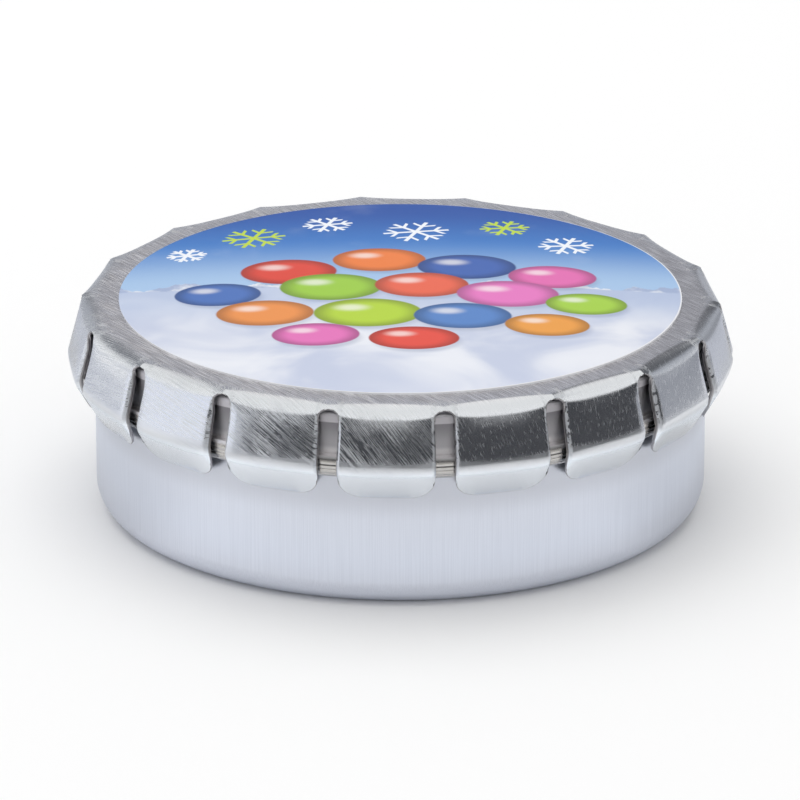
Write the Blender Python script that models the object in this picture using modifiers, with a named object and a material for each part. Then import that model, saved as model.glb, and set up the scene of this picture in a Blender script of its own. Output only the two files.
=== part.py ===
"""Snap-lid sweet tin: a drawn tinplate cup with a rolled edge, and a sprung lid whose flaps hook under that roll.

Pressing the lid's crown down swings every flap outwards, clear of the roll, and the lid then lifts off.
"""

import math

import bmesh
import bpy
from mathutils import Euler, Matrix

# Driving sizes, in metres and radians
SHEET = 0.00024  # tinplate of the cup and of the lid
WALL_RADIUS = 0.02287  # outer face of the cup's wall
RING_HEIGHT = 0.01573  # top of the lid's flat ring, above the table
FLAP_COUNT = 18
SLOT_TURN = math.radians(-2.4)  # first slot, counted from +X

# Cup
BASE_CORNER = 0.0020  # outer radius between the floor and the wall
FOOT_WIDTH = 0.0032  # flat ring that the tin stands on
PANEL_RAISE = 0.0005  # the floor inside that ring is set up by this much
PANEL_RUN = 0.0006  # width of the slope up to it
ROLL_FACE_DROP = 0.00393  # lid's flat ring down to the widest place of the roll
ROLL_CURL_DROP = 0.0013  # widest place down to the roll's underside
SEAT_GAP = 0.0003  # lid's ring to the top of the roll
ROLL_GAP = 0.0002  # flap's inner face to the roll's outer face
TUCK_GAP = 0.00015  # the roll's cut edge to the wall

# Lid
SHOULDER_REACH = 0.00067  # wall's outer face to where the planes of ring and flap meet
SHOULDER_RADIUS = 0.0013  # outer bend radius between ring and flap
FLAP_SPLAY = math.radians(15)  # lean of a flap's face from upright
FLAP_DROP = 0.00448  # lid's flat ring down to the knee
KNEE_RADIUS = 0.0006  # outer bend radius of the knee
HOOK_DROP = 0.0025  # knee down to the hook's lower edge
HOOK_GAP = 0.0002  # hook's lower edge to the cup's wall
HOOK_CORNER = 0.0017  # radius of the hook's two lower corners
SLOT_WIDTH = 0.0016
RING_WIDTH = 0.00124  # flat ring between the crown and the shoulder
HINGE_GAP = 0.0001  # bending line between a flap and the shoulder
CROWN_GAP = 0.0001  # bending line between the crown and the ring
CROWN_DOME = 0.0006  # rise of the closed crown at its centre

# Label
LABEL_MARGIN = 0.0002  # bare metal between the label's edge and the crown's
LABEL_SHEET = 0.0001
GLUE_FILM = 0.00005

# Facets, how far a cutter passes through the sheet, and the join of points on the axis
ROUND_STEPS = 3 * FLAP_COUNT
CORNER_STEPS = 4
CURL_STEPS = 6
SHOULDER_STEPS = 4
KNEE_STEPS = 3
DOME_STEPS = 6
NOTCH_SIDES = 16
CUT_OVERRUN = 0.0010
POLE_WELD = 0.000001  # points this close to the axis become one

# Places that follow from the sizes. The lid's are measured to the middle of a flap, not to a corner
HALF_PITCH = math.pi / FLAP_COUNT
SHOULDER_TANGENT = SHOULDER_RADIUS * math.tan((math.pi / 2 - FLAP_SPLAY) / 2)
RING_EDGE = WALL_RADIUS + SHOULDER_REACH - SHOULDER_TANGENT
CROWN_HOLE = RING_EDGE - RING_WIDTH
CROWN_RADIUS = CROWN_HOLE - CROWN_GAP


def flap_face(drop):
    """Reach of a flap's outer face from the axis, at a drop below the lid's flat ring."""
    return WALL_RADIUS + SHOULDER_REACH + drop * math.tan(FLAP_SPLAY)


def roll_face(drop):
    """Radius of the roll's outer face, which runs parallel to the flaps."""
    return flap_face(drop) - (SHEET + ROLL_GAP) / math.cos(FLAP_SPLAY)


def arc(centre, radii, start, end, steps):
    """Points on an ellipse in the plane of radius and height, from one angle to another."""
    angles = [start + (end - start) * step / steps for step in range(steps + 1)]
    return [(centre[0] + radii[0] * math.cos(angle), centre[1] + radii[1] * math.sin(angle)) for angle in angles]


def collection(name):
    """A new collection in the scene."""
    made = bpy.data.collections.new(name)
    bpy.context.scene.collection.children.link(made)
    return made


def finish(name, colour, roughness, metallic=1.0):
    """A Principled material."""
    material = bpy.data.materials.new(name)
    material.use_nodes = True
    shader = material.node_tree.nodes["Principled BSDF"]
    shader.inputs["Base Color"].default_value = (*colour, 1)
    shader.inputs["Roughness"].default_value = roughness
    shader.inputs["Metallic"].default_value = metallic
    return material


def placed(name, mesh, group, parent):
    """An object of this mesh, in a collection and under a parent."""
    thing = bpy.data.objects.new(name, mesh)
    group.objects.link(thing)
    thing.parent = parent
    return thing


def thicken(thing, thickness):
    """Gives an open surface its thickness, on the side that its normals point away from."""
    solidify = thing.modifiers.new("sheet", "SOLIDIFY")
    solidify.thickness = thickness
    solidify.offset = -1
    solidify.use_even_offset = True


def turned(name, profile, steps, thickness, group, parent):
    """A sheet turned about the tin's axis. Its outer face is on the left of the profile's direction."""
    mesh = bpy.data.meshes.new(name)
    points = [(radius, 0, height) for radius, height in profile]
    mesh.from_pydata(points, [(start, start + 1) for start in range(len(points) - 1)], [])
    thing = placed(name, mesh, group, parent)
    screw = thing.modifiers.new("turn", "SCREW")
    screw.steps = steps
    screw.render_steps = steps
    screw.use_merge_vertices = True
    screw.merge_threshold = POLE_WELD
    screw.use_smooth_shade = steps > FLAP_COUNT
    thicken(thing, thickness)
    return thing


def add_cylinder(mesh, radius, sides, location, rotation=(0, 0, 0)):
    """Adds a cylinder that passes through the sheet on both sides of its place."""
    matrix = Matrix.LocRotScale(location, Euler(rotation), None)
    bmesh.ops.create_cone(
        mesh,
        cap_ends=True,
        segments=sides,
        radius1=radius,
        radius2=radius,
        depth=2 * CUT_OVERRUN,
        matrix=matrix,
    )


def cut(thing, name, mesh, group):
    """Cuts the shapes of a bmesh out of an object that has the same parent."""
    data = bpy.data.meshes.new(name)
    mesh.to_mesh(data)
    mesh.free()
    cutter = placed(name, data, group, thing.parent)
    cutter.hide_render = True
    cutter.display_type = "WIRE"
    boolean = thing.modifiers.new(name, "BOOLEAN")
    boolean.operation = "DIFFERENCE"
    boolean.solver = "EXACT"
    boolean.object = cutter


def base_cup(group, axis):
    """The drawn cup: raised floor panel, foot ring, wall, and the mouth folded out and down into a long roll."""
    inner_face = WALL_RADIUS - SHEET
    foot_edge = WALL_RADIUS - BASE_CORNER
    panel_edge = foot_edge - FOOT_WIDTH - PANEL_RUN
    floor_top = PANEL_RAISE + SHEET
    floor = [(0, floor_top), (panel_edge, floor_top), (panel_edge + PANEL_RUN, SHEET)]
    corner = arc((foot_edge, BASE_CORNER), [BASE_CORNER - SHEET] * 2, -math.pi / 2, 0, CORNER_STEPS)

    # The fold at the mouth touches the wall's line, its own top height and the roll's face
    top_drop = SHEET + SEAT_GAP
    fold = (roll_face(top_drop) - inner_face) * math.cos(FLAP_SPLAY)
    fold /= 1 + math.cos(FLAP_SPLAY) - math.sin(FLAP_SPLAY)
    fold_centre = (inner_face + fold, RING_HEIGHT - top_drop - fold)
    mouth = arc(fold_centre, [fold] * 2, math.pi, FLAP_SPLAY, CURL_STEPS)

    # The curl is an ellipse, and the roll's sloping face runs into it without a corner
    curl_centre = (WALL_RADIUS + TUCK_GAP, RING_HEIGHT - ROLL_FACE_DROP)
    slope = ROLL_CURL_DROP * math.tan(FLAP_SPLAY)
    width = math.sqrt((roll_face(ROLL_FACE_DROP) - curl_centre[0]) ** 2 - slope**2)
    curl = arc(curl_centre, (width, ROLL_CURL_DROP), math.atan2(slope, width), -math.pi / 2, CURL_STEPS)
    return turned("base_cup", floor + corner + mouth + curl, ROUND_STEPS, SHEET, group, axis)


def lid_rim(group, cutters, axis):
    """The lid's flat ring and shoulder, with as many sides as it has flaps, notched round at each slot's end."""
    shoulder_centre = (RING_EDGE, RING_HEIGHT - SHOULDER_RADIUS)
    shoulder = arc(shoulder_centre, [SHOULDER_RADIUS] * 2, math.pi / 2, FLAP_SPLAY, SHOULDER_STEPS)
    section = [(CROWN_HOLE - CUT_OVERRUN, RING_HEIGHT), *shoulder]
    profile = [(reach / math.cos(HALF_PITCH), height) for reach, height in section]
    rim = turned("lid_rim", profile, FLAP_COUNT, SHEET, group, axis)

    hole = bmesh.new()
    add_cylinder(hole, CROWN_HOLE, ROUND_STEPS, (0, 0, RING_HEIGHT))
    cut(rim, "crown_hole", hole, cutters)

    # A notch goes square through the shoulder half way up the notch
    notches = bmesh.new()
    tilt = FLAP_SPLAY + SLOT_WIDTH / 4 / SHOULDER_RADIUS
    reach, height = profile[-1]
    for slot in range(FLAP_COUNT):
        angle = 2 * HALF_PITCH * slot
        location = (reach * math.cos(angle), reach * math.sin(angle), height)
        rotation = (0, math.pi / 2 - tilt, angle)
        add_cylinder(notches, SLOT_WIDTH / 2, NOTCH_SIDES, location, rotation)
    cut(rim, "slot_ends", notches, cutters)
    return rim


def dome(radius, lift):
    """Profile of the crown's face out to a radius, lifted off the metal by some height."""
    rim_lift = RING_HEIGHT + lift
    points = []
    for step in range(DOME_STEPS + 1):
        reach = radius * step / DOME_STEPS
        points.append((reach, rim_lift + CROWN_DOME * (1 - (reach / CROWN_RADIUS) ** 2)))
    return points


def flap_mesh(hinge, knee, tip):
    """A flap's outer face: a strip along the flap's section, with both lower corners of its hook rounded."""
    hook_lean = math.atan2(knee[0] - tip[0], knee[1] - tip[1])
    tangent = KNEE_RADIUS * math.tan((FLAP_SPLAY + hook_lean) / 2)
    bend_centre = (
        knee[0] - tangent * math.sin(FLAP_SPLAY) - KNEE_RADIUS * math.cos(FLAP_SPLAY),
        knee[1] + tangent * math.cos(FLAP_SPLAY) - KNEE_RADIUS * math.sin(FLAP_SPLAY),
    )
    section = [hinge, *arc(bend_centre, [KNEE_RADIUS] * 2, FLAP_SPLAY, -hook_lean, KNEE_STEPS), tip]

    strip = bmesh.new()
    rows = len(section) - 1
    bmesh.ops.create_grid(strip, x_segments=1, y_segments=rows, size=1)
    corners = [vertex for vertex in strip.verts if vertex.co.y < (1 - rows) / rows]
    for vertex in strip.verts:
        reach, height = section[round(rows * (1 - vertex.co.y) / 2)]
        half_width = reach * math.tan(HALF_PITCH) - SLOT_WIDTH / 2 / math.cos(HALF_PITCH)
        vertex.co = (-half_width * vertex.co.x, reach - hinge[0], height - hinge[1])
    bmesh.ops.bevel(strip, geom=corners, offset=HOOK_CORNER, segments=CORNER_STEPS, profile=0.5, affect="VERTICES")
    mesh = bpy.data.meshes.new("flap")
    strip.to_mesh(mesh)
    strip.free()
    return mesh


def flaps(group, rim):
    """All the flaps, each with its origin on its bending line and its own X axis along that line."""
    hinge_drop = (SHOULDER_TANGENT + HINGE_GAP) * math.cos(FLAP_SPLAY)
    hinge = (flap_face(hinge_drop), RING_HEIGHT - hinge_drop)
    knee = (flap_face(FLAP_DROP), RING_HEIGHT - FLAP_DROP)
    tip = (WALL_RADIUS + HOOK_GAP + SHEET, knee[1] - HOOK_DROP)
    mesh = flap_mesh(hinge, knee, tip)
    made = []
    for count in range(FLAP_COUNT):
        angle = HALF_PITCH * (2 * count + 1)
        flap = placed(f"flap_{count + 1:02d}", mesh, group, rim)
        flap.location = (hinge[0] * math.cos(angle), hinge[0] * math.sin(angle), hinge[1])
        flap.rotation_euler.z = angle - math.pi / 2
        thicken(flap, SHEET)
        made.append(flap)
    return made


def main():
    for thing in list(bpy.data.objects):
        bpy.data.objects.remove(thing, do_unlink=True)
    tin = collection("snap_lid_tin")
    cutters = collection("cutters")
    cutters.hide_render = True
    axis = placed("tin_axis", None, tin, None)
    axis.rotation_euler.z = SLOT_TURN

    cup = base_cup(tin, axis)
    rim = lid_rim(tin, cutters, axis)
    crown = turned("crown_panel", dome(CROWN_RADIUS, 0), ROUND_STEPS, SHEET, tin, rim)
    print_face = dome(CROWN_RADIUS - LABEL_MARGIN, GLUE_FILM + LABEL_SHEET)
    label = turned("label", print_face, ROUND_STEPS, LABEL_SHEET, tin, crown)
    lid_flaps = flaps(tin, rim)

    cup.data.materials.append(finish("cup_tinplate", (0.78, 0.81, 0.86), 0.32))
    rim.data.materials.append(finish("rim_tinplate", (0.70, 0.71, 0.74), 0.28))
    crown.data.materials.append(finish("crown_tinplate", (0.70, 0.71, 0.74), 0.30))
    lid_flaps[0].data.materials.append(finish("flap_tinplate", (0.72, 0.74, 0.78), 0.26))
    label.data.materials.append(finish("label_print", (0.42, 0.58, 0.86), 0.25, metallic=0.0))


main()
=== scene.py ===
"""Looks of a small snap-lid sweet tin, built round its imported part."""

import math

import bmesh
import bpy
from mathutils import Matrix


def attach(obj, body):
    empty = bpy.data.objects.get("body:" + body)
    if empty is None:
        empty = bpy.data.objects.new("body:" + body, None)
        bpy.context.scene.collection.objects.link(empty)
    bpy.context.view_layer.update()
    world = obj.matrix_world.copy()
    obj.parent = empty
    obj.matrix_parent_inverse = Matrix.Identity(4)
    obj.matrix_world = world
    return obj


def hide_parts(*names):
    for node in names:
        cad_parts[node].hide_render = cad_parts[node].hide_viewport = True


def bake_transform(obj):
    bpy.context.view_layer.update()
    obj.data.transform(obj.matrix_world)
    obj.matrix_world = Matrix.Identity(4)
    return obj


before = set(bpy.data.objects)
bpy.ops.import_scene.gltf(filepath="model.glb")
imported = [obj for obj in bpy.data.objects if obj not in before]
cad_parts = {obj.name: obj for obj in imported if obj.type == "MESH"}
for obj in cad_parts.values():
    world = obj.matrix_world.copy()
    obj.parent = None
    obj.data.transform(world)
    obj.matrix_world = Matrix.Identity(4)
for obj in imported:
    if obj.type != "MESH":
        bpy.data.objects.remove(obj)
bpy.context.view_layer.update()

# Cup
# One drawn tinplate pressing, polished up and down: a raised floor panel, a flat foot ring, a straight
# wall, and the mouth folded out and down into a long roll, which the lid's hooks hold.
SHEET = 0.00024
WALL_RADIUS = 0.02287
CORNER_RADIUS = 0.0020
FOOT_WIDTH = 0.0032
PANEL_RADIUS, PANEL_TOP = 0.0170, 0.00074
MOUTH_TOP = 0.01519
FOLD_RADIUS = 0.00041
FOLD_LINE, CURL_LINE = 0.0144, 0.0120  # the roll's side is straight between these heights
CURL_CENTRE, CURL_HALF = (0.02302, 0.01145), (0.00101, 0.0013)
ROUND_SIDES = 288


def arc(centre, radii, start, end, steps):
    """Ring places, as radius and height, along an arc given by its angles in degrees."""
    angles = [math.radians(start + (end - start) * step / steps) for step in range(steps + 1)]
    return [(centre[0] + radii[0] * math.cos(a), centre[1] + radii[1] * math.sin(a)) for a in angles]


def draw_up(name, rings, thickness):
    """A round sheet: a disc whose edge is extruded from ring to ring, and then given its thickness."""
    bpy.ops.object.select_all(action="DESELECT")
    radius, height = rings[0]
    bpy.ops.mesh.primitive_circle_add(
        vertices=ROUND_SIDES, radius=radius, fill_type="NGON", location=(0, 0, height)
    )
    piece = bpy.context.object
    piece.name = name
    bpy.ops.object.transform_apply()
    bpy.ops.object.mode_set(mode="EDIT")
    bpy.ops.mesh.select_mode(type="EDGE")
    for (old_radius, old_height), (radius, height) in zip(rings, rings[1:]):
        bpy.ops.mesh.extrude_edges_move(TRANSFORM_OT_translate={"value": (0, 0, height - old_height)})
        ratio = radius / old_radius
        bpy.ops.transform.resize(value=(ratio, ratio, 1), center_override=(0, 0, 0))
    bpy.ops.object.mode_set(mode="OBJECT")
    thicken(piece, thickness)
    return piece


def thicken(piece, thickness):
    """Solidify, applied, on the side that the faces point away from."""
    sheet = piece.modifiers.new("sheet", "SOLIDIFY")
    sheet.thickness = thickness
    sheet.offset = -1
    sheet.use_even_offset = True
    bpy.ops.object.modifier_apply(modifier=sheet.name)


class Wire:
    """One output in a material's nodes. Sums on it add Math nodes, and node() adds any other node."""

    def __init__(self, tree, socket=None):
        self.tree = tree
        self.socket = socket

    def node(self, kind, settings, sockets, output=0):
        """Adds a node of this type, with its settings first, then the values or links of its sockets."""
        made = self.tree.nodes.new("ShaderNode" + kind)
        for name, value in settings.items():
            setattr(made, name, value)
        for name, value in sockets.items():
            if isinstance(value, Wire):
                self.tree.links.new(value.socket, made.inputs[name])
            else:
                made.inputs[name].default_value = value
        return Wire(self.tree, made.outputs[output])

    def sum(self, operation, *values):
        return self.node("Math", {"operation": operation}, dict(enumerate(values)))

    def __add__(self, other):
        return self.sum("ADD", self, other)

    def __sub__(self, other):
        return self.sum("SUBTRACT", self, other)

    def __rsub__(self, other):
        return self.sum("SUBTRACT", other, self)

    def __mul__(self, other):
        return self.sum("MULTIPLY", self, other)

    def __truediv__(self, other):
        return self.sum("DIVIDE", self, other)

    def __pow__(self, other):
        return self.sum("POWER", self, other)

    def __abs__(self):
        return self.sum("ABSOLUTE", self)

    __radd__ = __add__
    __rmul__ = __mul__

    def fade(self, start, end):
        """0 at start and before it, 1 at end and past it, smooth in between."""
        sockets = {"Value": self, "From Min": start, "From Max": end}
        return self.node("MapRange", {"interpolation_type": "SMOOTHSTEP"}, sockets)

    def mix(self, first, second):
        """The first colour where this is 0, and the second where it is 1."""
        return self.node("Mix", {"data_type": "RGBA"}, {0: self, 6: first, 7: second}, output=2)

    def part(self, axis):
        """One of this place's three coordinates."""
        return self.node("SeparateXYZ", {}, {"Vector": self}, output=axis)

    def reach(self):
        """This place's distance from the upright axis."""
        return (self.part(0) ** 2 + self.part(1) ** 2) ** 0.5

    def streaks(self, turn, length, width, detail):
        """Noise drawn out along one direction of a flat pattern, by a streak's length and width."""
        sockets = {"Vector": self, "Rotation": (0, 0, turn), "Scale": (length, width, 1)}
        stretched = self.node("Mapping", {"vector_type": "TEXTURE"}, sockets)
        sockets = {"Vector": stretched, "Scale": 1, "Detail": detail}
        return self.node("TexNoise", {"noise_dimensions": "2D"}, sockets)


def new_material(name, colour, roughness, metallic):
    """A Principled material, with a wire to add its nodes with and its shader node."""
    material = bpy.data.materials.new(name)
    material.use_nodes = True
    shader = material.node_tree.nodes["Principled BSDF"]
    shader.inputs["Base Color"].default_value = (*colour, 1)
    shader.inputs["Roughness"].default_value = roughness
    shader.inputs["Metallic"].default_value = metallic
    return material, Wire(material.node_tree), shader


def feed(shader, name, wire):
    wire.tree.links.new(wire.socket, shader.inputs[name])


cup_finish, wire, shader = new_material("cup_tinplate", (0.75, 0.78, 0.86), 0.34, 1)
place = wire.node("TexCoord", {}, {}, output="Object")
height = place.part(2)
drawn_out = wire.node("Mapping", {}, {"Vector": place, "Scale": (15000, 15000, 160)})
grain = wire.node("TexNoise", {}, {"Vector": drawn_out, "Scale": 1, "Detail": 2})
wall_grain_and_shade = grain.fade(0.3, 0.7).mix((0.72, 0.75, 0.83, 1), (0.77, 0.80, 0.88, 1))
# Painted shade: the wall's colour darkens towards its top, under the overhanging flaps
wall_grain_and_shade = (height.fade(0.0066, 0.0086) * 0.8).mix(wall_grain_and_shade, (0.62, 0.64, 0.70, 1))
# The roll is painted darker than the wall as shade under the flaps. Its side is darkest at the top and
# paler downwards, with a painted highlight just above the curl. The curl is a darker warm grey, partly its
# own tone and partly painted shade. The fold at the top keeps about the tin's own tone.
rolled = place.reach().fade(WALL_RADIUS + 0.0001, WALL_RADIUS + 0.0004)
folded = rolled * height.fade(FOLD_LINE - 0.00006, FOLD_LINE + 0.00002)
curled = height.fade(CURL_LINE - 0.00005, CURL_LINE - 0.00035)
side_painted_light = height.fade(FOLD_LINE, CURL_LINE + 0.0006).mix((0.32, 0.31, 0.33, 1), (0.54, 0.53, 0.55, 1))
side_painted_light = height.fade(CURL_LINE + 0.0007, CURL_LINE + 0.0002).mix(side_painted_light, (0.86, 0.84, 0.85, 1))
roll_tone_and_shade = curled.mix(folded.mix(side_painted_light, (0.76, 0.74, 0.77, 1)), (0.58, 0.56, 0.535, 1))
feed(shader, "Roughness", 0.28 + 0.12 * grain + rolled * (0.12 - 0.24 * curled) + 0.12 * folded)
feed(shader, "Base Color", rolled.mix(wall_grain_and_shade, roll_tone_and_shade))
feed(shader, "Normal", wire.node("Bump", {}, {"Strength": 0.5, "Distance": 0.000002, "Height": grain}))

inner_face = WALL_RADIUS - SHEET
foot_edge = WALL_RADIUS - CORNER_RADIUS
inner_corner = CORNER_RADIUS - SHEET
cup_rings = [
    (PANEL_RADIUS - 0.0020, PANEL_TOP),
    (PANEL_RADIUS, PANEL_TOP),
    (PANEL_RADIUS + 0.00007, PANEL_TOP - 0.00001),
    (foot_edge - FOOT_WIDTH, SHEET),
]
cup_rings += arc((foot_edge, CORNER_RADIUS), (inner_corner, inner_corner), -90, 0, 10)
fold_centre = (inner_face + FOLD_RADIUS, MOUTH_TOP - FOLD_RADIUS)
cup_rings += arc(fold_centre, (FOLD_RADIUS, FOLD_RADIUS), 180, 0, 14)
cup_rings += [(inner_face + 2 * FOLD_RADIUS, height) for height in (0.0141, 0.0135, 0.0129, CURL_LINE)]
curl_rings = arc(CURL_CENTRE, CURL_HALF, 24, -90, 28)
for step, groove in ((7, 0.00004), (11, 0.00004), (16, 0.00003)):
    reach, height = curl_rings[step]
    curl_rings[step] = (reach - groove, height)  # a line that the curling wheels leave
cup = draw_up("tin_cup", cup_rings + curl_rings, SHEET)
bpy.ops.object.shade_smooth_by_angle(angle=math.radians(30))
cup.data.materials.append(cup_finish)
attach(cup, "base")
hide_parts("base_cup")

# Lid's ring
# The flat edge of the lid's pressing, between the crown and the shoulder. It is one sheet with them, in as
# many straight sides as the lid has flaps.
FLAPS = 18
HALF_PITCH = math.pi / FLAPS
FIRST_FLAP = math.radians(-2.4) + HALF_PITCH
RIM_HEIGHT = 0.01573
CROWN_EDGE = 0.0211
RING_SEAM = 0.0222  # where the ring's sheet meets the sheet of the shoulder and flaps
RING_EDGE = 0.0225425  # where the shoulder starts to bend
RING_ROWS = 8
RING_BEND_START, RING_BEND_END = 0.02215, 0.02115
SHOULDER_RADIUS = 0.0013
SPLAY = math.radians(15)
SHOULDER_BEND = math.pi / 2 - SPLAY
KNEE = (0.02474, 0.01125)
HOOK_LEAN = math.radians(29.8)
HAIR = 0.000001  # a length that counts as none
bend_end = RING_EDGE + SHOULDER_RADIUS * SHOULDER_BEND  # the shoulder's lower edge, in the flat sheet


def keep_piece(piece):
    """Makes this the only selected object, and the active one."""
    bpy.ops.object.select_all(action="DESELECT")
    piece.select_set(True)
    bpy.context.view_layer.objects.active = piece


def cut(piece, tool):
    """Cuts one object out of another and removes the tool."""
    keep_piece(piece)
    boolean = piece.modifiers.new("cut", "BOOLEAN")
    boolean.operation = "DIFFERENCE"
    boolean.solver = "EXACT"
    boolean.object = tool
    bpy.ops.object.modifier_apply(modifier=boolean.name)
    bpy.data.objects.remove(tool, do_unlink=True)


def slice_through(place, normal, **halves):
    """In edit mode, gives the whole piece new edges where a plane meets it."""
    bpy.ops.mesh.select_all(action="SELECT")
    bpy.ops.mesh.bisect(plane_co=place, plane_no=normal, threshold=0.0000001, **halves)


def unfolded(reach, height):
    """How far out from the axis a point of the lid lay in the flat sheet, before the lid was pressed."""
    drop = RIM_HEIGHT - height
    bend_drop = SHOULDER_RADIUS * (1 - math.sin(SPLAY))
    if reach < RING_EDGE or drop < HAIR:
        return reach
    if drop < bend_drop:
        return RING_EDGE + SHOULDER_RADIUS * math.acos(1 - drop / SHOULDER_RADIUS)
    straight = min(drop, RIM_HEIGHT - KNEE[1]) - bend_drop
    hook = max(0, KNEE[1] - height)
    return bend_end + straight / math.cos(SPLAY) + hook / math.cos(HOOK_LEAN)


def turned_copies(pattern, name):
    """A copy of a front piece for each flap, turned into place, with the flat sheet as its UV map."""
    made = []
    for count in range(FLAPS):
        turn = FIRST_FLAP + 2 * HALF_PITCH * count + math.pi / 2
        copy = pattern.copy()
        copy.data = pattern.data.copy()
        copy.name = f"{name}_{count + 1:02d}"
        bpy.context.collection.objects.link(copy)
        flat = copy.data.uv_layers.new(name="flat_sheet")
        for loop in copy.data.loops:
            x, y, z = copy.data.vertices[loop.vertex_index].co
            out = unfolded(-y, z)
            flat.data[loop.index].uv = (
                x * math.cos(turn) + out * math.sin(turn),
                x * math.sin(turn) - out * math.cos(turn),
            )
        copy.rotation_euler.z = turn
        keep_piece(copy)
        bpy.ops.object.transform_apply()
        made.append((copy, turn))
    bpy.data.objects.remove(pattern, do_unlink=True)
    return made


def front_to(turn, reach, height):
    """A place on the front piece's middle line, turned round with its copy."""
    return (reach * math.sin(turn), -reach * math.cos(turn), height)


def rolled_tinplate(name):
    """Bright tinplate, with slanting marks of rolling and handling that run one way in the flat sheet."""
    material, wire, shader = new_material(name, (0.85, 0.87, 0.90), 0.2, 1)
    flat = wire.node("UVMap", {"uv_map": "flat_sheet"}, {})
    reach = flat.reach()
    knee_line = unfolded(*KNEE)
    stretched = reach.fade(RING_SEAM, RING_EDGE + 0.0010)
    smooth = reach.fade(knee_line, knee_line + 0.0005)
    knee = reach.fade(knee_line - 0.0009, knee_line - 0.0003)
    knee = knee * reach.fade(knee_line + 0.0009, knee_line + 0.0003)

    # The marks are thickest at the left, and come in patches
    slant = math.radians(-54)
    grain = flat.streaks(slant, 0.0030, 0.00005, 2)
    lines = flat.streaks(slant, 0.0030, 0.000045, 1) + 0.025 * flat.part(0).fade(-0.0045, -0.0090)
    patches = 0.35 + 0.65 * flat.streaks(slant, 0.0060, 0.0030, 2).fade(0.35, 0.60)
    worn = patches * flat.part(0).fade(0.0050, 0.0034)
    specks = flat.streaks(slant, 0.0006, 0.00008, 0).fade(0.70, 0.80)
    lip = wire.node("Attribute", {"attribute_name": "lip_wear"}, {}, output="Fac")
    scuffs = lip * flat.streaks(slant, 0.0004, 0.0002, 1).fade(0.40, 0.55)
    marks = (lines.fade(0.53, 0.60) * worn + 0.4 * specks * stretched + 0.9 * scuffs) * (1 - 0.9 * smooth)
    rubbed = 0.12 * grain * (1 - 0.6 * stretched) + 0.34 * marks + 0.16 * knee
    feed(shader, "Roughness", 0.22 - 0.07 * stretched + rubbed)
    bumps = (0.45 - 0.37 * smooth) * grain + 0.5 * marks
    feed(shader, "Normal", wire.node("Bump", {}, {"Strength": 0.8, "Distance": 0.000004, "Height": bumps}))

    # The ring is brushed in light and dull streaks. The flaps' colour is paler below the shoulder and
    # paler still on the hooks, where it is a painted brightening of the shaded floor that the hooks mirror
    brushed = 0.4 * grain + 0.6 * flat.streaks(slant, 0.0022, 0.00009, 1)
    dull = brushed.fade(0.36, 0.60) * (1 - 0.8 * stretched)
    ring_colour = dull.mix((0.92, 0.905, 0.915, 1), (0.55, 0.535, 0.545, 1))
    lower = reach.fade(bend_end - 0.00064, bend_end + 0.00036)
    flap_tone_and_painted_light = lower.mix((0.66, 0.69, 0.71, 1), (0.77, 0.80, 0.84, 1))
    # Painted light: the hooks are coloured brighter than the flaps
    flap_tone_and_painted_light = smooth.mix(flap_tone_and_painted_light, (0.90, 0.95, 1.0, 1))
    feed(shader, "Base Color", (stretched * 0.8).mix(ring_colour, flap_tone_and_painted_light))
    return material


bpy.ops.object.select_all(action="DESELECT")
bpy.ops.mesh.primitive_cylinder_add(
    vertices=FLAPS,
    radius=RING_SEAM / math.cos(HALF_PITCH),
    depth=SHEET,
    location=(0, 0, RIM_HEIGHT - SHEET / 2),
    rotation=(0, 0, HALF_PITCH),
)
ring = bpy.context.object
bpy.ops.object.transform_apply()
bpy.ops.object.select_all(action="DESELECT")
bpy.ops.mesh.primitive_cylinder_add(
    vertices=ROUND_SIDES, radius=CROWN_EDGE, depth=0.002, location=(0, 0, RIM_HEIGHT)
)
cut(ring, bpy.context.object)
bpy.ops.object.mode_set(mode="EDIT")
for side in (-1, 1):
    outwards = (side * math.cos(HALF_PITCH), math.sin(HALF_PITCH), 0)
    slice_through((0, 0, 0), outwards, use_fill=True, clear_outer=True)
for row in range(1, RING_ROWS):
    reach = CROWN_EDGE + (RING_SEAM - CROWN_EDGE) * row / RING_ROWS
    slice_through((0, -reach, 0), (0, 1, 0))
bpy.ops.object.mode_set(mode="OBJECT")
bpy.ops.object.shade_smooth_by_angle(angle=math.radians(40))
ring.data.materials.append(rolled_tinplate("rim_tinplate"))
for piece, turn in turned_copies(ring, "ring_sheet"):
    front_to(turn, RING_BEND_START, RIM_HEIGHT)
    front_to(turn, RING_BEND_END, RIM_HEIGHT)
    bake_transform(piece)
    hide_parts("lid_rim")

# Lid's flaps
# The shoulder and the eighteen sprung flaps of the same pressing. Round-ended slots part them, each flap
# bends inwards at its knee, and its round-cornered hook reaches under the cup's roll.
SHOULDER_CORNER = 0.02354  # where the ring's and the flaps' planes meet
KNEE_RADIUS = 0.0011
HOOK_TIP = (0.02331, 0.00875)
HOOK_CORNER = 0.0017
HINGE_START, HINGE_END = (0.02352, 0.01525), (0.02397, 0.01355)
SLOT_HALF = 0.00076
SLOT_DROP = 0.0011  # down the flap, from the shoulder's corner to the centre of a slot's round end
SLOT_TIGHTENING = 0.45  # how much of the shoulder's radius is lost at the slots
FORM_START, FORM_FULL = 0.0152, 0.0138  # heights between which a flap takes on its bulge and its lips
BULGE = 0.00010
LIP_WIDTH, LIP_DEPTH = 0.00026, 0.00030  # the flaps' sides turn in along the slots
LIP_FOOT, LIP_FULL = 0.0102, 0.0109  # heights between which a lip grows to its depth, over the knee
LIP_WORN = 0.00021
RUBBED_EDGE = 0.00007
CUT_STEEL = 1  # the place of the cut edges' finish in a flap's list of materials
slot_end = (SHOULDER_CORNER + SLOT_DROP * math.sin(SPLAY), RIM_HEIGHT - SLOT_DROP * math.cos(SPLAY))


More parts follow.
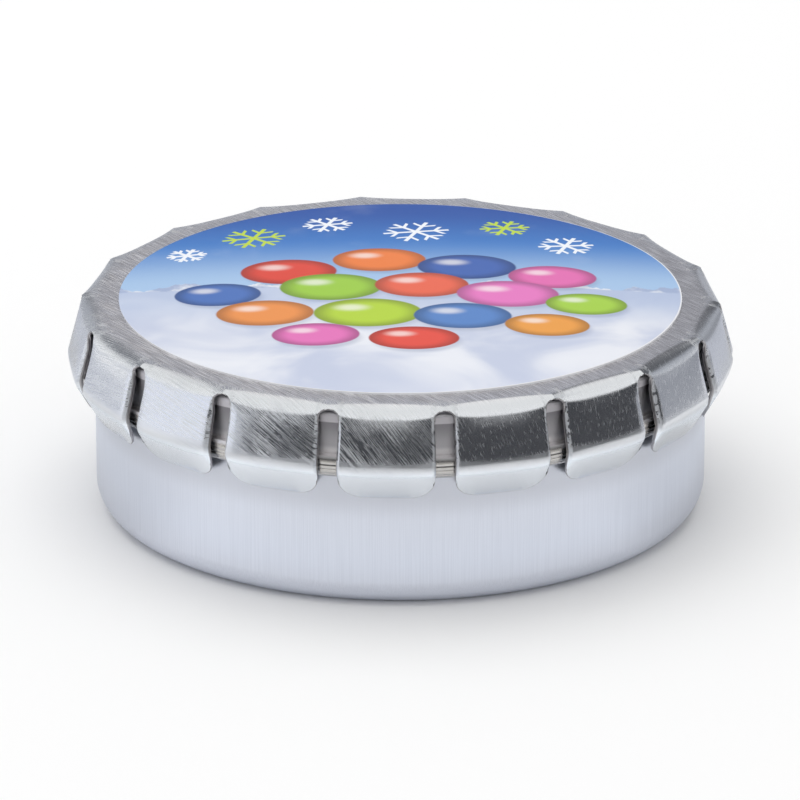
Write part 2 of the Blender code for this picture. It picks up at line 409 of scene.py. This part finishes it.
def pick(test, kind="EDGE"):
    """In edit mode, selects the edges or corners whose every point passes a test on its place."""
    bpy.ops.mesh.select_all(action="DESELECT")
    bpy.ops.mesh.select_mode(type=kind)
    shape = bmesh.from_edit_mesh(bpy.context.object.data)
    for part in shape.edges if kind == "EDGE" else shape.verts:
        points = part.verts if kind == "EDGE" else [part]
        part.select = all(test(*point.co) for point in points)
    shape.select_flush_mode()
    bmesh.update_edit_mesh(bpy.context.object.data)


def near(value, wanted):
    return abs(value - wanted) < 0.00001


def ramp(value, start, end):
    """0 at start and before it, 1 at end and past it, even in between."""
    return min(1, max(0, (value - start) / (end - start)))


def full_half(reach):
    """Half of a flap's pitch, as a width at this reach."""
    return reach * math.tan(HALF_PITCH)


def flap_half(reach):
    """Half of a flap's own width at this reach, between its slots."""
    return full_half(reach) - SLOT_HALF / math.cos(HALF_PITCH)


def extrude_row(old, new):
    """Extrudes the selected row of edges to a new reach and height, and widens it."""
    move = (0, old[0] - new[0], new[1] - old[1])
    bpy.ops.mesh.extrude_edges_move(TRANSFORM_OT_translate={"value": move})
    bpy.ops.transform.resize(value=(new[0] / old[0], 1, 1), center_override=(0, 0, 0))


bpy.ops.object.select_all(action="DESELECT")
bpy.ops.mesh.primitive_plane_add(size=2, location=(0, 0, 0))
flap = bpy.context.object
bpy.ops.object.mode_set(mode="EDIT")
half_depth = (SHOULDER_CORNER - RING_SEAM) / 2
bpy.ops.transform.resize(value=(full_half(RING_SEAM), half_depth, 1), center_override=(0, 0, 0))
bpy.ops.transform.translate(value=(0, half_depth - SHOULDER_CORNER, RIM_HEIGHT))
pick(lambda x, y, z: near(y, -SHOULDER_CORNER))
bpy.ops.transform.resize(value=(SHOULDER_CORNER / RING_SEAM, 1, 1), center_override=(0, 0, 0))
extrude_row((SHOULDER_CORNER, RIM_HEIGHT), KNEE)
extrude_row(KNEE, HOOK_TIP)
for row, radius, bend in (
    (SHOULDER_CORNER, SHOULDER_RADIUS, SHOULDER_BEND),
    (KNEE[0], KNEE_RADIUS, SPLAY + HOOK_LEAN),
):
    pick(lambda x, y, z: near(y, -row))
    bpy.ops.mesh.bevel(offset=radius * math.tan(bend / 2), segments=14, profile=0.5, clamp_overlap=False)
bpy.ops.object.mode_set(mode="OBJECT")
thicken(flap, SHEET)
flap_finishes = [
    rolled_tinplate("flap_tinplate"),
    new_material("cut_steel", (0.50, 0.49, 0.50), 0.35, 1)[0],
]
for finish in flap_finishes:
    flap.data.materials.append(finish)

# A slot's cutter is a cylinder whose lower half is drawn down along the flap
for side in (-1, 1):
    turn = side * HALF_PITCH
    bpy.ops.object.select_all(action="DESELECT")
    bpy.ops.mesh.primitive_cylinder_add(
        vertices=48,
        radius=SLOT_HALF,
        depth=0.005,
        location=front_to(turn, slot_end[0] / math.cos(HALF_PITCH), slot_end[1]),
        rotation=(math.pi / 2 - SPLAY - SLOT_HALF / 2 / SHOULDER_RADIUS, 0, turn),
    )
    tool = bpy.context.object
    bpy.ops.object.mode_set(mode="EDIT")
    pick(lambda x, y, z: y < HAIR, "VERT")
    drop = 0.009
    bpy.ops.transform.translate(value=front_to(turn, drop * math.sin(SPLAY), -drop))
    bpy.ops.object.mode_set(mode="OBJECT")
    for finish in flap_finishes:
        tool.data.materials.append(finish)
    for face in tool.data.polygons:
        face.material_index = CUT_STEEL
    cut(flap, tool)

# The hook's corners are rounded, and the sheet gets the rows and columns that its forms need
keep_piece(flap)
bpy.ops.object.mode_set(mode="EDIT")
for side in (-1, 1):
    pick(lambda x, y, z: z < HOOK_TIP[1] + SHEET and side * x > flap_half(-y) - 0.0001)
    bpy.ops.mesh.bevel(offset=HOOK_CORNER, segments=14, profile=0.5, clamp_overlap=False)
for share in (-1.14, -0.8, -0.6, -0.4, -0.2, 0, 0.2, 0.4, 0.6, 0.8, 1.14):
    slice_through(
        (share * flap_half(slot_end[0]), -slot_end[0], 0),
        (math.cos(HALF_PITCH * share), math.sin(HALF_PITCH * share), 0),
    )
for side in (-1, 1):
    for inset in (0.00005, 0.00010, 0.00016, LIP_WIDTH):
        slice_through(
            (side * (flap_half(slot_end[0]) - inset), -slot_end[0], 0),
            (math.cos(HALF_PITCH), side * math.sin(HALF_PITCH), 0),
        )
for height in (0.0145, 0.0142, 0.0139, 0.0136):
    slice_through((0, 0, height), (0, 0, 1))

# The shoulder bends more tightly towards the slots, and each flap bulges a little between its lips
shape = bmesh.from_edit_mesh(flap.data)
wear = shape.verts.layers.float.new("lip_wear")
for point in shape.verts:
    reach = -point.co.y
    angle = math.atan2(reach - RING_EDGE, point.co.z - (RIM_HEIGHT - SHOULDER_RADIUS))
    if 0 <= angle < SHOULDER_BEND + 0.001:
        tighter = SLOT_TIGHTENING * SHOULDER_RADIUS * ramp(abs(point.co.x), 0, full_half(reach)) ** 3
        out = tighter * (math.tan(SHOULDER_BEND / 2) - math.sin(angle))
        point.co.x *= 1 + out / reach
        point.co.y -= out
        point.co.z += tighter * (1 - math.cos(angle))
    half = flap_half(-point.co.y)
    inset = half - abs(point.co.x)
    formed = ramp(point.co.z, FORM_START, FORM_FULL)
    above_knee = ramp(point.co.z, LIP_FOOT, LIP_FULL)
    bulge = BULGE * (1 - 1.3 * ramp(abs(point.co.x), 0, half) ** 4)
    lip = LIP_DEPTH * ramp(inset, LIP_WIDTH, 0) ** 2 * above_knee
    point.co.y -= (bulge - lip) * formed * formed * (3 - 2 * formed)
    point[wear] = above_knee if abs(inset) < LIP_WORN else 0
bmesh.update_edit_mesh(flap.data)


def off_seams(x, y, z):
    """True clear of the seams with the next flaps and with the ring."""
    beside = -y * math.sin(HALF_PITCH) - abs(x) * math.cos(HALF_PITCH)
    return min(beside, -y - RING_SEAM) > 0.00002


# The cut edges are rubbed round, apart from the seams
pick(off_seams)
shape = bmesh.from_edit_mesh(flap.data)
for edge in shape.edges:
    edge.select = edge.select and edge.calc_face_angle(0) > math.radians(50)
shape.select_flush_mode()
bmesh.update_edit_mesh(flap.data)
bpy.ops.mesh.bevel(offset=RUBBED_EDGE, segments=3, profile=0.5, material=CUT_STEEL)
bpy.ops.object.mode_set(mode="OBJECT")
bpy.ops.object.shade_smooth_by_angle(angle=math.radians(35))
for count, (piece, turn) in enumerate(turned_copies(flap, "sprung_flap")):
    node = f"flap_{count + 1:02d}"
    front_to(turn, *HINGE_START)
    front_to(turn, *HINGE_END)
    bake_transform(piece)
    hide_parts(node)

# Crown
# The slightly domed middle of the lid's pressing, under the label. Pressing it down spreads the flaps.
CROWN_RISE = 0.0006


def dome(radius, lift, steps=24):
    """Ring places on the closed crown, from near its middle out to a radius."""
    foot = RIM_HEIGHT + lift
    reaches = [radius * (0.02 + 0.98 * step / steps) for step in range(steps + 1)]
    return [(reach, foot + CROWN_RISE * (1 - (reach / CROWN_EDGE) ** 2)) for reach in reaches]


crown = draw_up("crown_sheet", dome(CROWN_EDGE, 0), SHEET)
flat = crown.data.uv_layers.new(name="flat_sheet")
for loop in crown.data.loops:
    flat.data[loop.index].uv = crown.data.vertices[loop.vertex_index].co.xy
bpy.ops.object.shade_smooth_by_angle(angle=math.radians(30))
crown.data.materials.append(rolled_tinplate("crown_tinplate"))
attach(crown, "crown")
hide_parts("crown_panel")

# Label
# A round printed film glued on the crown, with a narrow white edge: a plain winter sky over snow, with a
# heap of coloured sweets and a few ice crystals.
LABEL_RADIUS = 0.0210
FILM = 0.00015
label_finish, wire, shader = new_material("label_print", (0.5, 0.6, 0.8), 0.30, 0)
shader.inputs["Specular IOR Level"].default_value = 0.2
place = wire.node("TexCoord", {}, {}, output="Object")
across = place.part(0) * 1000
back = place.part(1) * 1000
clouds = wire.node("TexNoise", {}, {"Vector": place, "Scale": 160, "Detail": 4})
sky = back.fade(1, 12).mix((0.40, 0.58, 0.83, 1), (0.04, 0.20, 0.58, 1))
sky = back.fade(9, 20).mix(sky, (0, 0.07, 0.37, 1))
sky = (clouds.fade(0.56, 0.76) * 0.10).mix(sky, (0.75, 0.82, 0.92, 1))
skyline = wire.node("TexNoise", {"noise_dimensions": "1D"}, {"W": across, "Scale": 0.22, "Detail": 5})
peaks = (0.6 + 5.5 * (skyline - 0.42) - back).fade(0, 0.25)
slopes = wire.node("TexNoise", {}, {"Vector": place, "Scale": 420, "Detail": 5})
mountains = slopes.fade(0.42, 0.58).mix((0.38, 0.46, 0.66, 1), (0.84, 0.87, 0.93, 1))
drifts = wire.node("TexNoise", {}, {"Vector": place, "Scale": 110, "Detail": 3, "Distortion": 0.6})
snow = drifts.fade(0.35, 0.68).mix((0.58, 0.63, 0.78, 1), (0.84, 0.86, 0.92, 1))
snow = (back.fade(-8, -2) * 0.6).mix(snow, (0.42, 0.52, 0.74, 1))
ground = (0.4 - back + 1.2 * (clouds - 0.5)).fade(0, 0.4)
picture = ground.mix(peaks.mix(sky, mountains), snow)


def oval(x, y, wide, high):
    """Distance from a centre, as a share of an oval's half sizes, in millimetres."""
    return (((across - x) / wide) ** 2 + ((back - y) / high) ** 2) ** 0.5


# Each sweet's place across and back, its half width and half height, and its colour
sweets = [
    (-8.4, 3.8, 3.7, 2.9, (0.75, 0.06, 0.03)),
    (-1.6, 6.4, 3.6, 2.8, (0.88, 0.22, 0.04)),
    (5.0, 4.8, 3.8, 2.9, (0.05, 0.13, 0.45)),
    (11.4, 2.8, 3.4, 2.6, (0.80, 0.16, 0.46)),
    (-13.6, -1.0, 3.3, 2.5, (0.07, 0.17, 0.50)),
    (-5.2, 0.2, 3.9, 3.0, (0.35, 0.62, 0.05)),
    (1.6, 0.6, 3.6, 2.8, (0.85, 0.14, 0.07)),
    (8.0, -1.2, 3.9, 2.9, (0.82, 0.20, 0.55)),
    (13.8, -3.0, 3.1, 2.3, (0.40, 0.66, 0.06)),
    (-10.0, -5.2, 3.7, 2.7, (0.86, 0.30, 0.07)),
    (-2.4, -5.4, 4.1, 3.0, (0.48, 0.68, 0.04)),
    (4.6, -6.0, 3.7, 2.7, (0.10, 0.24, 0.58)),
    (10.8, -7.6, 3.2, 2.3, (0.86, 0.36, 0.06)),
    (-6.2, -9.8, 3.3, 2.3, (0.80, 0.18, 0.50)),
    (1.0, -10.6, 3.4, 2.3, (0.80, 0.08, 0.05)),
]
for x, y, wide, high, colour in sweets:
    shade = oval(x + 0.25, y - 0.7, wide * 1.08, high * 1.05).fade(1, 0.75)
    picture = (shade * 0.35).mix(picture, (0.22, 0.26, 0.40, 1))
    body = oval(x, y, wide, high)
    gloss = oval(x - wide * 0.3, y + high * 0.35, wide * 0.45, high * 0.35).fade(1, 0.2)
    darker = tuple(0.55 * part for part in colour)
    sweet = body.fade(0.55, 1).mix((*colour, 1), (*darker, 1))
    sweet = (gloss * 0.6).mix(sweet, (1, 0.97, 0.94, 1))
    picture = body.fade(1.0, 0.95).mix(picture, sweet)

# Each ice crystal's place across and back, the length of its arms, and its colour
crystals = [
    (-11.2, 12.2, 2.5, (0.55, 0.72, 0.04)),
    (-5.6, 15.4, 2.0, (0.92, 0.95, 1.0)),
    (1.2, 13.4, 2.6, (0.92, 0.95, 1.0)),
    (8.0, 14.6, 2.0, (0.55, 0.72, 0.04)),
    (12.6, 10.4, 2.2, (0.92, 0.95, 1.0)),
    (-16.2, 8.4, 1.6, (0.92, 0.95, 1.0)),
]
for x, y, size, colour in crystals:
    for turn in (0.2, 0.2 + math.pi / 3, 0.2 + 2 * math.pi / 3):
        length = abs((across - x) * math.cos(turn) + (back - y) * math.sin(turn))
        width = abs((back - y) * math.cos(turn) - (across - x) * math.sin(turn))
        arm = length.fade(size, size - 0.1) * width.fade(0.20, 0.12)
        barb = abs(length - width * 0.7 - 0.55 * size)
        barb = barb.fade(0.20, 0.12) * width.fade(0.36 * size, 0.36 * size - 0.1)
        picture = wire.sum("MAXIMUM", arm, barb).mix(picture, (*colour, 1))

# The print ends just inside the film's edge, and sits a hair to the left of its centre
edge = oval(-0.05, 0.04, 1, 1).fade(20.93, 20.97)
feed(shader, "Base Color", edge.mix(picture, (0.86, 0.87, 0.90, 1)))

label = draw_up("printed_label", dome(LABEL_RADIUS, FILM), FILM)
bpy.ops.object.shade_smooth_by_angle(angle=math.radians(30))
label.data.materials.append(label_finish)
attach(label, "crown")
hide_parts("label")

# Studio
# A plain pale floor under one wide soft lamp. Grey and black cards stand round the tin and discs lie on
# the floor, and only the tin's metal shows them.
LAMP_PLACE = (-0.12, 0.10, 0.85)
CARD_FOOT = 0.0004

bpy.ops.object.select_all(action="DESELECT")
bpy.ops.mesh.primitive_plane_add(size=8, location=(0, 0, -0.00002))
floor = bpy.context.object
floor.name = "studio_floor"
floor_finish, wire, shader = new_material("floor_paper", (0.96, 0.96, 0.96), 0.9, 0)
shader.inputs["Specular IOR Level"].default_value = 0
floor.data.materials.append(floor_finish)

bpy.ops.object.light_add(type="AREA", location=LAMP_PLACE)
lamp = bpy.context.object
lamp.data.size = 1.1
lamp.data.energy = 3.9
lamp.visible_glossy = False
lamp.rotation_euler.x = math.atan2(-LAMP_PLACE[1], LAMP_PLACE[2])
lamp.rotation_euler.y = math.atan2(LAMP_PLACE[0], LAMP_PLACE[2])


def mirrored_only(piece, name, level, blue, shown_at):
    """Makes the new shape a patch of plain light that only the metal shows, where a mask lets it."""
    piece.name = name
    bpy.ops.object.transform_apply()
    paint, wire, shader = new_material(name + "_paint", (0, 0, 0), 1, 0)
    shown = shown_at(wire.node("TexCoord", {}, {}, output="Object"))
    light = wire.node("Emission", {}, {"Color": (level * 0.97, level, level * blue, 1)})
    clear = wire.node("BsdfTransparent", {}, {})
    mixed = wire.node("MixShader", {}, {0: shown, 1: clear, 2: light})
    feed(wire.tree.nodes["Material Output"], "Surface", mixed)
    piece.data.materials.append(paint)
    piece.visible_camera = False
    piece.visible_diffuse = False
    piece.visible_shadow = False


def card(name, distance, bearings, heights, soft, level, blur=14):
    """A soft-edged card curved round the tin, with its bearings in degrees from the front to the right."""
    bottom, top = heights
    turn = math.radians(sum(bearings) / 2)
    half_width = (bearings[1] - bearings[0]) / 2

    def shown_at(place):
        toward = (place.part(0) * math.sin(turn) - place.part(1) * math.cos(turn)) / distance
        shown = toward.fade(math.cos(math.radians(half_width)), math.cos(math.radians(half_width - blur)))
        shown = shown * place.part(2).fade(top, top - soft)
        return shown * place.part(2).fade(bottom, bottom + soft) if bottom > CARD_FOOT else shown

    bpy.ops.object.select_all(action="DESELECT")
    bpy.ops.mesh.primitive_cylinder_add(
        vertices=96,
        radius=distance,
        depth=top - bottom,
        end_fill_type="NOTHING",
        location=(0, 0, (bottom + top) / 2),
    )
    mirrored_only(bpy.context.object, name, level, 1.1, shown_at)


card("front_card", 0.100, (-50, 86), (CARD_FOOT, 0.058), 0.022, 0.06, 9)
card("right_card", 0.104, (74, 156), (CARD_FOOT, 0.030), 0.012, 0.34)
card("far_right_card", 0.190, (112, 175), (0.055, 0.200), 0.035, 0.14, 12)
card("far_left_card", 0.192, (-174, -118), (0.055, 0.190), 0.035, 0.26, 12)
card("back_card", 0.200, (98, 244), (CARD_FOOT, 0.240), 0.060, 0.49)
card("left_card", 0.204, (-112, -40), (CARD_FOOT, 0.090), 0.030, 0.88)
card("near_right_card", 0.060, (104, 170), (CARD_FOOT, 0.012), 0.006, 0.58)
card("near_left_card", 0.058, (-176, -76), (CARD_FOOT, 0.014), 0.006, 0.60)


def floor_disc(name, radius, height, level, shown_at):
    """A disc just over the floor, which darkens or brightens the floor that the metal shows."""
    bpy.ops.object.select_all(action="DESELECT")
    bpy.ops.mesh.primitive_circle_add(
        vertices=96, radius=radius, fill_type="NGON", location=(0, 0, height)
    )
    mirrored_only(bpy.context.object, name, level, 1.04, shown_at)


def shade_shown(place):
    """Close to the tin at its sides, and farther off behind it and in front."""
    reach = place.reach()
    sideways = abs(place.part(0)) / reach
    rearward = place.part(1) / reach
    far = reach.fade(0.040, 0.048)
    behind = rearward.fade(0.45, 0.65) * 0.45 + rearward.fade(-0.35, -0.60) * 0.30
    return sideways.fade(0.75, 1.0) * 0.22 * (1 - far) + behind * far


def glow_shown(place):
    """A narrow ring close to the wall."""
    reach = place.reach()
    return reach.fade(0.0262, 0.0285) * reach.fade(0.0360, 0.0310) * 0.9


floor_disc("floor_shade", 0.21, 0.0002, 0.02, shade_shown)
floor_disc("floor_glow", 0.04, 0.0001, 0.92, glow_shown)

world = bpy.data.worlds.new("studio")
bpy.context.scene.world = world
world.use_nodes = True
wire = Wire(world.node_tree)
seen = wire.node("LightPath", {}, {}, output="Is Camera Ray")
mirrored = wire.node("LightPath", {}, {}, output="Is Glossy Ray")
through = wire.node("LightPath", {}, {}, output="Is Transmission Ray")
full = wire.sum("MINIMUM", seen + mirrored + through, 1)
background = world.node_tree.nodes["Background"]
background.inputs["Color"].default_value = (1, 1, 1, 1)
feed(background, "Strength", 0.70 + 0.30 * full)

CAMERA_ELEVATION = math.radians(20.5)
CAMERA_DISTANCE = 0.471104
AIM_HEIGHT = 0.007996
bpy.ops.object.camera_add(
    location=(
        0,
        -CAMERA_DISTANCE * math.cos(CAMERA_ELEVATION),
        AIM_HEIGHT + CAMERA_DISTANCE * math.sin(CAMERA_ELEVATION),
    ),
    rotation=(math.pi / 2 - CAMERA_ELEVATION, 0, 0),
)
camera = bpy.context.object
camera.data.lens = 282.42
camera.data.shift_x = -0.00047
camera.data.shift_y = -0.00793
bpy.context.scene.camera = camera
bpy.context.scene.view_settings.view_transform = "Standard"
